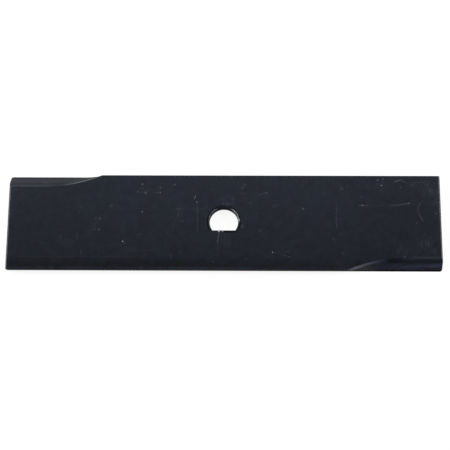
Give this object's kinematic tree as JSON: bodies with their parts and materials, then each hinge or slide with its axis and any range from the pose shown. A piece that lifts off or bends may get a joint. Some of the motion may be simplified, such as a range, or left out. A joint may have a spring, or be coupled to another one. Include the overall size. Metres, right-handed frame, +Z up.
{
  "type": "edger blade",
  "caption": "Flat rectangular steel edger blade with a central D hole and a ground bevel at two opposite corners.",
  "frame": {"origin": "centre of the hole's round wall, on the back face, which is the face the blade lies on", "axes": "+X along the blade, +Y across it and away from the hole's flat, +Z up through it, out of the bevelled front face"},
  "size_m": [0.2286, 0.0508, 0.0048],
  "materials": {
    "black_paint": "satin"
  },
  "bodies": {
    "root": {"blade": "black_paint"}
  },
  "joints": []
}
